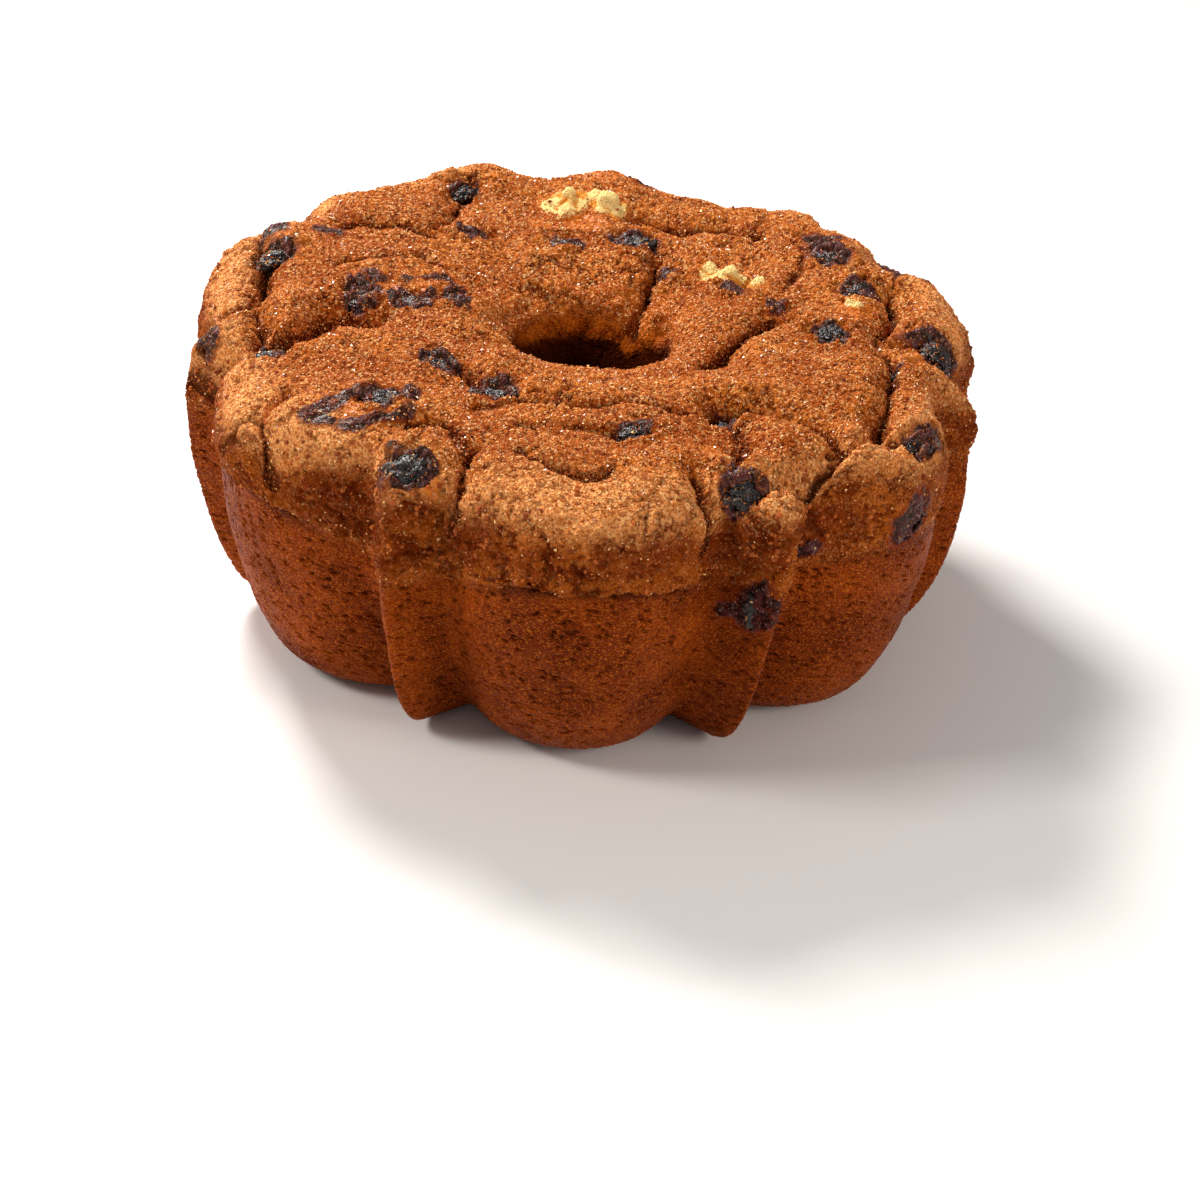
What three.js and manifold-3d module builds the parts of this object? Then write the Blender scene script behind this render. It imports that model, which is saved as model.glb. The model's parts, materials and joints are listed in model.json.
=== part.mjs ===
// A ring cake baked in a fluted tube tin and kept the way up it baked: the tin's open side is the top.
// Its body is one closed skin, a profile carried round the axis while the flutes deepen and fade.
// The crust on top has folds and swells, and each berry is a squashed ball in a socket of its own.

import * as THREE from "three";
import { mergeVertices } from "three/addons/utils/BufferGeometryUtils.js";
import Module from "manifold-3d";

// Driving dimensions, in millimetres and degrees. The front of the cake is -Y.
const HEIGHT = 84.5; // level of the crust half-way out
const CRUST_SLOPE = 0.01; // rise of the crust towards the back, for each millimetre
const RIM_RADIUS = 107; // widest level of the side, below the top edge
const FOOT_RADIUS = 98.5; // a lobe where its foot begins to round under
const HOLE_RADIUS = 20; // narrowest level of the hole, near the top
const HOLE_FOOT_RADIUS = 28; // the hole where the cake stands
const SIDE_FROM = FOOT_RADIUS - 20; // beyond this radius the skin belongs to the side
const LOBES = 7; // broad lobes round the side, with a narrow ridge between each two
const FRONT_LOBE = -89; // direction of the lobe that faces forward
const VALLEY_SHARE = 0.375; // a valley's distance from its lobe's middle, in lobe pitches
const VALLEY_DEPTH = 13.5; // depth of the valleys near the foot
const CREST_SHARPNESS = 1.25; // 1 makes the ridges straight-sided, more makes them thinner
const FLAT_SIDE = -9; // direction of the side that rose less far out, near the top
const FLAT_SPREAD = 24; // angle over which it comes back to round
const FLAT_DEPTH = 4; // how far it falls short
const SOCKET_GAP = 0.35; // clearance between a berry and its socket
const BERRY_FLATNESS = 0.7; // thickness of a berry for its width
const BERRY_SHOWING = 0.28; // share of a berry's thickness that stands out of the crust

// How finely the skin is divided
const COLUMN_SHARES = [-0.5, -0.455, -0.41, -0.36, -0.28, -0.17, -0.06, 0.06, 0.17, 0.28, 0.36, 0.41, 0.455];
const ROWS_PER_STRETCH = 2;

// The profile as a closed curve: radius, height, share of the valley depth.
// It runs up the hole, out over the crust, down the side and back under the foot.
const PROFILE = [
  [HOLE_FOOT_RADIUS, 0, 0],
  [HOLE_FOOT_RADIUS - 4, 12, 0],
  [HOLE_RADIUS + 2, 34, 0],
  [HOLE_RADIUS, 54, 0],
  [HOLE_RADIUS + 0.5, HEIGHT - 14, 0],
  [HOLE_RADIUS + 6, HEIGHT - 5.5, 0],
  [HOLE_RADIUS + 20, HEIGHT - 2, 0],
  [(HOLE_RADIUS + RIM_RADIUS) / 2, HEIGHT, 0],
  [RIM_RADIUS - 22, HEIGHT, 0.05],
  [RIM_RADIUS - 7.5, HEIGHT - 3.5, 0.35],
  [RIM_RADIUS, HEIGHT - 12, 0.6],
  [RIM_RADIUS + 0.5, HEIGHT - 23, 0.75],
  [RIM_RADIUS - 0.5, 46, 0.85],
  [FOOT_RADIUS + 4.5, 30, 0.95],
  [FOOT_RADIUS, 16, 1],
  [FOOT_RADIUS - 7.5, 4.5, 1],
  [SIDE_FROM, 0, 0.9],
  [(HOLE_FOOT_RADIUS + FOOT_RADIUS) / 2, 0, 0],
];

// Dough that rose over the tin's edge hangs as a lip: for the front lobe, the ridge to its right,
// the next lobe and so on round, the level of the lip's lower edge and how far it stands out.
const LIP = [
  [57, 3.2],
  [55, 1.5],
  [60, 1.2],
  [60, 1],
  [60, 2],
  [62, 1.2],
  [58, 2.4],
  [62, 2],
  [60, 2],
  [64, 1],
  [61, 1],
  [62, 0.2],
  [56, 2],
  [66, 1.2],
];
const LIP_EDGE = 5; // height over which the lip swells out

// Levels between which the unevenness of the side and of the crust sets in
const FLAT_FROM = 20;
const FLAT_FULL = 70;
const CRUST_FROM = HEIGHT - 26;
const CRUST_FULL = HEIGHT - 8;

// Swells of the crust, each faded out at its radius: x, y, radius, rise
const SWELLS = [
  [-68, 60, 36, 5.5],
  [-30, 84, 18, 6.5],
  [4, 86, 18, 5.5],
  [36, 88, 14, -1.5],
  [62, 76, 26, 2],
  [-93, 24, 24, 4],
  [94, 34, 12, 3],
  [31, 4, 20, 3],
  [58, -34, 26, 2],
  [48, -68, 15, 2],
  [66, -79, 18, 7],
];

// Folds where lobes of dough met: depth, width, then the points that the fold runs through
const FOLDS = [
  [6, 11, [-90, 25], [-87, -4], [-83, -34]],
  [4, 9, [-82, -36], [-75, -28], [-69, -13], [-58, -12]],
  [5, 8, [17, 42], [17, 32], [12, 19]],
  [3, 10, [48, 5], [42, -4], [28, -25]],
  [5, 10, [80, -17], [77, -41], [73, -61]],
  [6, 10, [32, -52], [46, -53], [56, -61], [61, -72]],
  [4, 8, [61, -72], [70, -66], [79, -61]],
  [4, 9, [33, -53], [38, -64], [37, -82]],
  [6, 10, [82, 28], [82, 12], [77, -4], [80, -17]],
  [6, 10, [80, -19], [88, -14], [104, -19]],
  [2, 9, [38, 34], [44, 48], [49, 82]],
  [3, 8, [-39, 83], [-38, 71], [-44, 46]],
  [2, 8, [-43, -73], [-32, -71], [-26, -82]],
  [4, 9, [-73, -59], [-78, -67], [-70, -84], [-64, -95]],
  [5, 10, [-104, -25], [-93, -34], [-82, -36]],
  [3, 8, [-33, -40], [-26, -50], [-18, -56]],
  [4, 9, [42, -91], [52, -81], [63, -73]],
];

// Berries in the crust: x, y, length, width, turn
const TOP_BERRIES = [
  [-40, -90, 14, 12, 20],
  [38, -88, 13, 12, 80],
  [-48, -63, 14, 11, 15],
  [-37, -39, 14, 10, -45],
  [-21, -52, 13, 9, -40],
  [12, -69, 10, 8, 45],
  [35, -53, 10, 9, 60],
  [63, -5, 13, 11, 90],
  [82, -17, 10, 8, 80],
  [93, -6, 14, 11, 100],
  [84, -55, 18, 8, 60],
  [74, 24, 14, 12, 70],
  [66, 48, 14, 12, 100],
  [38, 20, 13, 10, 110],
  [49, 11, 10, 8, 70],
  [21, 32, 9, 7, 15],
  [10, 51, 15, 11, 10],
  [-9, 47, 13, 10, 5],
  [-36, 44, 13, 11, -15],
  [-42, 74, 13, 11, 30],
  [-88, 20, 14, 11, 60],
  [-48, -2, 14, 11, 10],
  [-37, 5, 10, 9, 80],
  [-61.5, -3, 14, 11, 95],
  [-81, -37, 9, 7, -20],
];

// Berries that broke through the side: direction, height, length, width, turn
const SIDE_BERRIES = [
  [-65, 50, 14, 9, 40],
  [-41, 65, 14, 10, 80],
  [38, 40, 13, 10, 20],
  [100, 52, 14, 11, -30],
  [158, 34, 12, 9, 60],
];

const CRUST = new THREE.MeshStandardMaterial({ color: 0xa4632f, roughness: 0.85, metalness: 0 });
const BERRY_SKIN = new THREE.MeshStandardMaterial({ color: 0x1d1620, roughness: 0.5, metalness: 0 });

const wasm = await Module();
wasm.setup();

const { smoothstep, degToRad } = THREE.MathUtils;

// Place within a lobe, from -0.5 at one ridge's crest through 0 at the lobe's middle to 0.5
function lobeShare(angle) {
  const pitches = (angle - degToRad(FRONT_LOBE)) / (2 * Math.PI / LOBES);
  return pitches - Math.round(pitches);
}

// How far a side falls back across a lobe and its ridge: 0 on lobe and crest, 1 in the valley
function valley(share) {
  const offset = Math.abs(share);
  if (offset < VALLEY_SHARE) {
    return (offset / VALLEY_SHARE) ** 2;
  }
  return 1 - ((offset - VALLEY_SHARE) / (0.5 - VALLEY_SHARE)) ** CREST_SHARPNESS;
}

// Signed angle from a direction in degrees, the short way round
function turnFrom(angle, direction) {
  const turn = angle - degToRad(direction);
  return Math.atan2(Math.sin(turn), Math.cos(turn));
}

// Level and overhang of the lip at an angle, eased between the lobes and ridges
function lipAt(angle) {
  const steps = (angle - degToRad(FRONT_LOBE)) / (Math.PI / LOBES);
  const before = Math.floor(steps);
  const ease = smoothstep(steps - before, 0, 1);
  const here = LIP[THREE.MathUtils.euclideanModulo(before, LIP.length)];
  const next = LIP[THREE.MathUtils.euclideanModulo(before + 1, LIP.length)];
  return here.map((value, i) => THREE.MathUtils.lerp(value, next[i], ease));
}

function distanceToSegment(x, y, [ax, ay], [bx, by]) {
  const along = ((x - ax) * (bx - ax) + (y - ay) * (by - ay)) / ((bx - ax) ** 2 + (by - ay) ** 2);
  const t = THREE.MathUtils.clamp(along, 0, 1);
  return Math.hypot(x - ax - t * (bx - ax), y - ay - t * (by - ay));
}

// Depth of the folds at a place on the crust: a sharp bottom between rounded shoulders
function foldDepth(x, y) {
  let deepest = 0;
  for (const [depth, width, ...points] of FOLDS) {
    for (let i = 1; i < points.length; i += 1) {
      const share = distanceToSegment(x, y, points[i - 1], points[i]) / width;
      deepest = Math.max(deepest, depth * Math.max(0, 1 - share) ** 2);
    }
  }
  return deepest;
}

function swellRise(x, y) {
  let rise = 0;
  for (const [cx, cy, radius, height] of SWELLS) {
    rise += height * Math.exp(-2 * (Math.hypot(x - cx, y - cy) / radius) ** 2);
  }
  return rise;
}

// One point of the skin, from the plain profile at an angle to the uneven cake
function skinPoint(angle, radius, height) {
  const [lipLevel, lipOut] = lipAt(angle);
  const onSide = radius > SIDE_FROM ? 1 : 0;
  const lip = lipOut * smoothstep(height, lipLevel - LIP_EDGE / 2, lipLevel + LIP_EDGE / 2);
  const offFlat = turnFrom(angle, FLAT_SIDE) / degToRad(FLAT_SPREAD);
  const short = FLAT_DEPTH * Math.exp(-(offFlat ** 2)) * smoothstep(height, FLAT_FROM, FLAT_FULL);
  const r = radius + onSide * (lip - short);
  const x = r * Math.cos(angle);
  const y = r * Math.sin(angle);
  const onTop = smoothstep(height, CRUST_FROM, CRUST_FULL);
  const z = Math.max(0, height) + onTop * (CRUST_SLOPE * y + swellRise(x, y) - foldDepth(x, y));
  return [x, y, z];
}

function makeSkin() {
  const positions = [];
  const columns = [];
  for (let lobe = 0; lobe < LOBES; lobe += 1) {
    for (const share of COLUMN_SHARES) {
      columns.push(degToRad(FRONT_LOBE) + (lobe + share) * (2 * Math.PI / LOBES));
    }
  }
  const rows = PROFILE.length * ROWS_PER_STRETCH;
  for (const angle of columns) {
    const fallBack = VALLEY_DEPTH * valley(lobeShare(angle));
    const knots = PROFILE.map(([r, z, share]) => new THREE.Vector3(r - share * fallBack, z, 0));
    const curve = new THREE.CatmullRomCurve3(knots, true, "catmullrom", 0.5);
    for (let row = 0; row < rows; row += 1) {
      const { x: radius, y: height } = curve.getPoint(row / rows);
      positions.push(...skinPoint(angle, radius, height));
    }
  }
  const triangles = [];
  for (let column = 0; column < columns.length; column += 1) {
    const nextColumn = (column + 1) % columns.length;
    for (let row = 0; row < rows; row += 1) {
      const nextRow = (row + 1) % rows;
      const a = column * rows + row;
      const b = nextColumn * rows + row;
      const c = nextColumn * rows + nextRow;
      const d = column * rows + nextRow;
      triangles.push(a, c, b, a, d, c);
    }
  }
  const skin = new THREE.BufferGeometry();
  skin.setAttribute("position", new THREE.Float32BufferAttribute(positions, 3));
  skin.setIndex(triangles);
  return skin;
}

function toSolid(geometry) {
  const bare = geometry.clone();
  bare.deleteAttribute("normal");
  bare.deleteAttribute("uv");
  const merged = mergeVertices(bare);
  const vertProperties = new Float32Array(merged.attributes.position.array);
  const triVerts = new Uint32Array(merged.index.array);
  return new wasm.Manifold(new wasm.Mesh({ numProp: 3, vertProperties, triVerts }));
}

function toGeometry(solid) {
  const mesh = solid.getMesh();
  const geometry = new THREE.BufferGeometry();
  geometry.setAttribute("position", new THREE.BufferAttribute(new Float32Array(mesh.vertProperties), 3));
  geometry.setIndex(new THREE.BufferAttribute(new Uint32Array(mesh.triVerts), 1));
  geometry.computeVertexNormals();
  return geometry;
}

// A berry's frame where a ray from outside meets the skin: sunk along the skin's normal, then turned
function berryPlace(skinMesh, from, towards, width, turn) {
  const [hit] = new THREE.Raycaster(from, towards).intersectObject(skinMesh);
  const thickness = BERRY_FLATNESS * width;
  const sunk = thickness * (0.5 - BERRY_SHOWING);
  const lean = new THREE.Quaternion().setFromUnitVectors(new THREE.Vector3(0, 0, 1), hit.face.normal);
  const spin = new THREE.Quaternion().setFromAxisAngle(new THREE.Vector3(0, 0, 1), degToRad(turn));
  const centre = hit.point.clone().addScaledVector(hit.face.normal, -sunk);
  return new THREE.Matrix4().compose(centre, lean.multiply(spin), new THREE.Vector3(1, 1, 1));
}

function berryBall(length, width, grow) {
  const ball = new THREE.IcosahedronGeometry(1, 1);
  return ball.scale(length / 2 + grow, width / 2 + grow, BERRY_FLATNESS * width / 2 + grow);
}

const cake = new THREE.Group();
const skin = makeSkin();
skin.computeVertexNormals();
const skinMesh = new THREE.Mesh(skin, CRUST);

const berries = [];
for (const [x, y, length, width, turn] of TOP_BERRIES) {
  const from = new THREE.Vector3(x, y, 2 * HEIGHT);
  const place = berryPlace(skinMesh, from, new THREE.Vector3(0, 0, -1), width, turn);
  berries.push({ length, width, place });
}
for (const [direction, level, length, width, turn] of SIDE_BERRIES) {
  const outward = new THREE.Vector3(Math.cos(degToRad(direction)), Math.sin(degToRad(direction)), 0);
  const from = outward.clone().multiplyScalar(2 * RIM_RADIUS).setZ(level);
  const place = berryPlace(skinMesh, from, outward.negate(), width, turn);
  berries.push({ length, width, place });
}

let body = toSolid(skin);
for (const { length, width, place } of berries) {
  body = body.subtract(toSolid(berryBall(length, width, SOCKET_GAP).applyMatrix4(place)));
}
const bodyMesh = new THREE.Mesh(toGeometry(body), CRUST);
bodyMesh.name = "cake";
cake.add(bodyMesh);

berries.forEach(({ length, width, place }, i) => {
  const berry = new THREE.Mesh(berryBall(length, width, 0), BERRY_SKIN);
  berry.name = `berry_${String(i + 1).padStart(2, "0")}`;
  berry.applyMatrix4(place);
  cake.add(berry);
});

export default cake;
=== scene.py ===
import json
import math
import bmesh
import bpy
import numpy as np
from mathutils import Matrix, Vector, noise
from mathutils.bvhtree import BVHTree

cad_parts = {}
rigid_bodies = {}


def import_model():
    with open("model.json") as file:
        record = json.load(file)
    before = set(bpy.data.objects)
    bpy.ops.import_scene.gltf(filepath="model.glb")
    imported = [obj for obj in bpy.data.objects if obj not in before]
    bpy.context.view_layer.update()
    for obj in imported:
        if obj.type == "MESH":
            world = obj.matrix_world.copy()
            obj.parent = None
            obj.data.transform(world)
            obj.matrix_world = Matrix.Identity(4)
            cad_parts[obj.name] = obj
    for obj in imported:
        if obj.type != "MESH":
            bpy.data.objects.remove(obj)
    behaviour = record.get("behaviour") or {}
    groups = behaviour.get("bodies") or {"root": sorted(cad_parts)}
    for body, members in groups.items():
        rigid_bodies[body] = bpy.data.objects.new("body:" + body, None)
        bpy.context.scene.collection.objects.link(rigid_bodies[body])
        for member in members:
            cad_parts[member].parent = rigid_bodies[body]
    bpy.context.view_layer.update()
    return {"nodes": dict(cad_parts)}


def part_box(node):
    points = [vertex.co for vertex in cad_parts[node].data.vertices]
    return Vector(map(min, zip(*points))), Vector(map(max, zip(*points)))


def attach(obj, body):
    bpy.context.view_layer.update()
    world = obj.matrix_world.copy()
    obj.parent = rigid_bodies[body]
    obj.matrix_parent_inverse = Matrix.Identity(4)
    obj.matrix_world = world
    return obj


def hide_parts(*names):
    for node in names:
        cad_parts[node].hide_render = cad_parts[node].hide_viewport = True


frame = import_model()

# The cake is one ring of batter, baked in a fluted tube tin that gave its side seven lobes and thin ridges.
# Above the tin's edge it rose free and set as a craggy crust, creased where lobes of dough met, with a lip
# over the side. It stands on the narrow end, the bottom of the tin. Lengths are in millimetres.
crust_level = 84.5
crust_slope = 0.01
rim_radius = 107
foot_radius = 98.5
hole_radius = 20
hole_foot_radius = 28
side_from = foot_radius - 20
lobes = 7
lobe_pitch = 2 * math.pi / lobes
front_lobe = math.radians(-89)
valley_share = 0.375
valley_depth = 13.5
valley_rounding = 0.14
crest_sharpness = 1.25
crest_rounding = 0.06
crest_offsets = (0.44, 0.49)
flat_side = math.radians(-9)
flat_spread = math.radians(24)
flat_depth = 4
flat_levels = (20, 70)
crust_levels = (crust_level - 26, crust_level - 8)

# The profile as a closed curve of radius, height and share of the valley depth: up the hole, out over the
# crust, down the side and back under the foot
profile = np.array([
    (hole_foot_radius, 0, 0),
    (hole_foot_radius - 4, 12, 0),
    (hole_radius + 2, 34, 0),
    (hole_radius, 54, 0),
    (hole_radius + 0.5, crust_level - 13, 0),
    (hole_radius + 2.5, crust_level - 4.5, 0),
    (hole_radius + 13, crust_level - 1, 0),
    ((hole_radius + rim_radius) / 2, crust_level, 0),
    (rim_radius - 22, crust_level, 0.05),
    (rim_radius - 7.5, crust_level - 3.5, 0.45),
    (rim_radius, crust_level - 12, 0.68),
    (rim_radius + 0.5, crust_level - 23, 0.78),
    (rim_radius - 0.5, 46, 0.85),
    (foot_radius + 4.5, 30, 0.95),
    (foot_radius, 16, 1),
    (foot_radius - 7.5, 4.5, 1),
    (side_from, 0, 0.9),
    ((hole_foot_radius + foot_radius) / 2, 0, 0),
])
hole_knot = 4
band_knot = 8
side_knot_range = (10, 13)
foot_knot = 15.7
underside_knot = len(profile)

# Level of the lip's lower edge and how far it stands out: front lobe, the ridge to its right, and so on round
lip = np.array([
    (61, 3.2), (56, 1.8), (60, 1), (60, 0.8), (60, 1.8), (62, 1), (58, 2.2),
    (62, 1.6), (60, 1.6), (64, 0.8), (61, 0.8), (62, 0.2), (63.5, 2.6), (52, 0.5),
])
lip_furthest = 3.2
lip_edge_crisp = 1.2
lip_edge_soft = 8
lip_crisp_shares = (0.2, 0.7)
lip_droop = 1.8
lip_droop_spread = 1.8
lip_wander = 1.6
lip_wander_sizes = (22, 7)
lip_in_valleys = 0.3
seam_below_lip = 3

# Swells of the crust, and its dip towards the hole: x, y, radius, rise
swells = [
    (-68, 60, 36, 5.5), (-36, 85, 20, 6.5), (4, 86, 18, 5.5), (36, 88, 14, -1.5), (62, 76, 26, 4.5),
    (-93, 24, 24, 4), (94, 34, 12, 3), (31, 4, 20, 3), (58, -34, 26, 2), (48, -68, 15, 2), (66, -79, 18, 7),
    (-21, -41, 10, 4.5), (0, 0, 34, -14), (-9, 72, 7, 4), (2.5, 71, 6, 3.5), (38, 30, 6, 2.5),
]

# Folds where lobes of dough met: depth, width, how far the dough on the fold's left stands above that on its
# right, then the points that the fold runs through
folds = [
    (8, 10, 4, (-90, 25), (-87, -4), (-83, -34)),
    (7, 9, 5, (-82, -36), (-75, -28), (-69, -13), (-58, -12)),
    (7, 8, 1, (17, 42), (17, 32), (12, 19)),
    (4.5, 9, -2.5, (48, 5), (42, -4), (28, -25)),
    (7, 9, 3.5, (80, -17), (77, -41), (73, -61)),
    (8, 9, 4, (32, -52), (46, -53), (56, -61), (61, -72)),
    (6, 8, 0, (61, -72), (70, -66), (79, -61)),
    (5, 9, 2.5, (33, -53), (38, -64), (37, -82)),
    (8, 9, 1.5, (82, 28), (82, 12), (77, -4), (80, -17)),
    (8, 9, -2.5, (80, -19), (88, -14), (104, -19)),
    (4, 15, 1, (38, 34), (44, 48), (49, 82)),
    (4, 8, 1.5, (-39, 83), (-38, 71), (-44, 46)),
    (3, 7, 1.2, (-43, -73), (-32, -71), (-26, -82)),
    (6, 8, 0.5, (-73, -59), (-78, -67), (-70, -84), (-64, -95)),
    (7, 9, 2, (-104, -25), (-93, -34), (-82, -36)),
    (5, 8, 3, (-33, -40), (-26, -50), (-18, -56)),
    (6, 8, -2, (42, -91), (52, -81), (63, -73)),
    (6, 7, 2.5, (81, -4), (91, 0), (99, -6), (104, -12)),
    (3, 8, -1.2, (14, 50), (30, 40), (40, 28), (47, 18)),
    (2.4, 4, 1.2, (-14, -86), (-7, -92), (0, -93), (6, -90)),
    (2, 5, 1, (-26, -62), (-12, -60), (6, -57), (24, -58)),
    (1.8, 5, 0.8, (-18, -73), (-4, -72), (16, -71)),
    (1.6, 5, 0.6, (-70, 12), (-62, 22), (-48, 26)),
    (2, 5, 0.6, (52, 24), (58, 36), (57, 52)),
    (6, 7, -1, (-24, -80), (-27, -90), (-32, -106)),
    (6, 7, 1, (27, -86), (30, -94), (34, -106)),
    (4, 8, 1.5, (10, 66), (24, 62), (36, 66), (48, 60)),
    (3, 7, 1, (-70, 40), (-58, 44), (-46, 40)),
]
broad_share = 0.55
broad_reach = 2.1
broad_from = 2.5
narrow_share = 0.6
narrow_reach = 0.7
crisp_below = 13
crack_share = 0.28
crack_width = 1.4
full_crack_depth = 3
shoulder_rise = 0.14
shoulder_spread = 0.5
step_blend = 0.9
step_reach = 13
step_end = 4
fold_wander = 2.4
fold_wander_size = 15
fine_wander = 0.3 * fold_wander
fine_wander_size = fold_wander_size / 4
wander_seed = 3
noise.seed_set(wander_seed)


def smooth_step(value, low, high):
    share = np.clip((value - low) / (high - low), 0, 1)
    return share * share * (3 - 2 * share)


def hump(value, middle, spread):
    """1 at the middle, falling away on both sides"""
    return np.exp(-(((value - middle) / spread) ** 2))


def along_profile(knot):
    """Radius, height and valley share at places along the closed profile, counted in knots"""
    first = np.floor(knot).astype(int)
    f = (knot - first)[..., None]
    before, here, after, beyond = (profile[(first + step) % len(profile)] for step in (-1, 0, 1, 2))
    leave = (after - before) / 2
    arrive = (beyond - here) / 2
    cubic = 2 * here - 2 * after + leave + arrive
    square = 3 * after - 3 * here - 2 * leave - arrive
    return ((cubic * f + square) * f + leave) * f + here


def wander(places, size):
    """A smooth random push between about -1 and 1 each way, for each place"""
    return np.array([noise.noise_vector(Vector(p) / size) for p in places])


def away_from(places, start, end):
    """How far each place lies from the stretch between two points"""
    start = np.array(start)
    run = np.array(end) - start
    along = np.clip((places - start) @ run / (run @ run), 0, 1)
    return np.linalg.norm(places - start - along[:, None] * run, axis=1)


def between_pillows(aside, width):
    """How deep the gap between two rounded pillows of dough is: 1 where they meet, 0 from the width on"""
    return 1 - np.sqrt(1 - np.clip(1 - aside / width, 0, 1) ** 2)


def left_of(places, start, end):
    """How far each place lies to the left of the line from start to end"""
    run = np.array(end) - np.array(start)
    return (run[0] * (places[:, 1] - start[1]) - run[1] * (places[:, 0] - start[0])) / np.hypot(*run)


# Columns run round the cake, with one on every ridge's crest. Rows run from the top of the hole out over the
# crust, over the rim to a seam under the lip, then down the side, under the foot and up the hole.
columns_per_lobe = 160
crust_rows = 176
band_rows = 128
side_rows = (120, 14, 64)
top_rows = crust_rows + band_rows
columns = lobes * columns_per_lobe
angle = front_lobe + (np.arange(columns) / columns_per_lobe - 0.5) * lobe_pitch
pitches = (angle - front_lobe) / lobe_pitch
offset = np.abs(pitches - np.floor(pitches + 0.5))
past_valley = (offset - valley_share) / (0.5 - valley_share)
near_crest = np.maximum(past_valley - 1 + 2 * crest_rounding, 0)
towards_crest = (past_valley - near_crest ** 2 / (4 * crest_rounding)) / (1 - crest_rounding)
into_valley = (offset / valley_share) ** 2
out_of_valley = 1 - np.sign(towards_crest) * np.abs(towards_crest) ** crest_sharpness
both_ways = np.exp(-into_valley / valley_rounding) + np.exp(-out_of_valley / valley_rounding)
valley = np.clip(-valley_rounding * np.log(both_ways) / (1 - valley_rounding * math.log(2)), 0, 1)
on_crest = smooth_step(offset, *crest_offsets)

lip_step = 2 * pitches
lip_before = np.floor(lip_step).astype(int)
lip_ease = smooth_step(lip_step - lip_before, 0, 1)[:, None]
lip_here = lip[lip_before % len(lip)] * (1 - lip_ease) + lip[(lip_before + 1) % len(lip)] * lip_ease
lip_places = np.stack([rim_radius * np.cos(angle), rim_radius * np.sin(angle), np.zeros(columns)], 1)
lip_waves = wander(lip_places, lip_wander_sizes[0])[:, 0]
lip_ripples = wander(lip_places, lip_wander_sizes[1])[:, 1]
lip_level = lip_here[:, 0] + lip_wander * (lip_waves + 0.5 * lip_ripples)
lip_out = lip_here[:, 1] * (1 - (1 - lip_in_valleys) * valley)
lip_share = lip_out / lip_furthest
lip_edge = lip_edge_soft + (lip_edge_crisp - lip_edge_soft) * smooth_step(lip_share, *lip_crisp_shares)

knots = np.linspace(hole_knot, hole_knot + len(profile), 3601)
strides = np.linalg.norm(np.diff(along_profile(knots)[:, :2], axis=0), axis=1)
walk = np.concatenate([[0], np.cumsum(strides)])
side_knots = np.linspace(*side_knot_range, 301)
side_levels = along_profile(side_knots)[:, 1]
seam_knot = np.interp(lip_level - seam_below_lip, side_levels[::-1], side_knots[::-1])
seam_walk = np.interp(seam_knot, knots, walk)
band_walk, foot_walk, under_walk = np.interp([band_knot, foot_knot, underside_knot], knots, walk)
stations = [0, band_walk, seam_walk, foot_walk, under_walk, walk[-1]]
stations = [np.broadcast_to(station, columns) for station in stations]
row_counts = (crust_rows, band_rows, *side_rows)
row_walk = np.concatenate([
    np.linspace(start, end, count, endpoint=False)
    for start, end, count in zip(stations[:-1], stations[1:], row_counts)
])
rows = len(row_walk)
radius, level, valley_part = np.moveaxis(along_profile(np.interp(row_walk, walk, knots)), -1, 0)
radius = radius - valley_part * valley_depth * valley

# The lip stands out over the side and droops a little, and the side falls short where the lobe is flat
past_lip = smooth_step(level, lip_level - lip_edge / 2, lip_level + lip_edge / 2)
above_lip = level - lip_level
from_flat = np.arctan2(np.sin(angle - flat_side), np.cos(angle - flat_side))
falls_short = flat_depth * hump(from_flat, 0, flat_spread) * smooth_step(level, *flat_levels)
on_side = radius > side_from
radius = radius + np.where(on_side, lip_out * past_lip - falls_short, 0)
droop = lip_droop * lip_share * hump(above_lip, lip_edge / 2, lip_droop_spread)
x = radius * np.cos(angle)
y = radius * np.sin(angle)

# Swells and folds of the crust, along lines that wander. The dough is pillow-shaped on each side of a fold.
plan = np.stack([x.ravel(), y.ravel(), np.zeros(x.size)], 1)
top_part = slice(0, (top_rows + 1) * columns)
wandered = plan.copy()
wandered[top_part] += fold_wander * wander(plan[top_part], fold_wander_size)
wandered[top_part] += fine_wander * wander(plan[top_part], fine_wander_size)
wandered = wandered[:, :2]
fold_depth = np.zeros(x.size)
fold_step = np.zeros(x.size)
crack = np.zeros(x.size)
for depth, width, step, *points in folds:
    stretches = list(zip(points[:-1], points[1:]))
    reaches = [away_from(wandered, *ends) for ends in stretches]
    nearest = np.argmin(reaches, axis=0)
    aside = np.choose(nearest, reaches)
    to_left = np.choose(nearest, [left_of(wandered, *ends) for ends in stretches])
    past_end = np.sqrt(np.maximum(aside ** 2 - to_left ** 2, 0))
    stands = np.exp(-aside / step_reach - (past_end / step_end) ** 2)
    fold_step += step * (smooth_step(to_left, -step_blend, step_blend) - 0.5) * stands
    line = hump(aside, 0, crack_width)
    hollow = np.zeros(x.size)
    if depth > broad_from:
        hollow += broad_share * np.clip(1 - aside / (broad_reach * width), 0, 1) ** 2
    if width < crisp_below:
        hollow += narrow_share * between_pillows(aside, narrow_reach * width) + crack_share * line
        crack = np.maximum(crack, line * min(1, depth / full_crack_depth))
    raised = shoulder_rise * hump(aside, width, shoulder_spread * width)
    fold_depth = np.where(depth * hollow > fold_depth, depth * hollow, fold_depth) - depth * raised
fold_depth = (fold_depth - fold_step).reshape(x.shape)
swell = sum(rise * np.exp(-2 * ((x - cx) ** 2 + (y - cy) ** 2) / r ** 2) for cx, cy, r, rise in swells)
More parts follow.
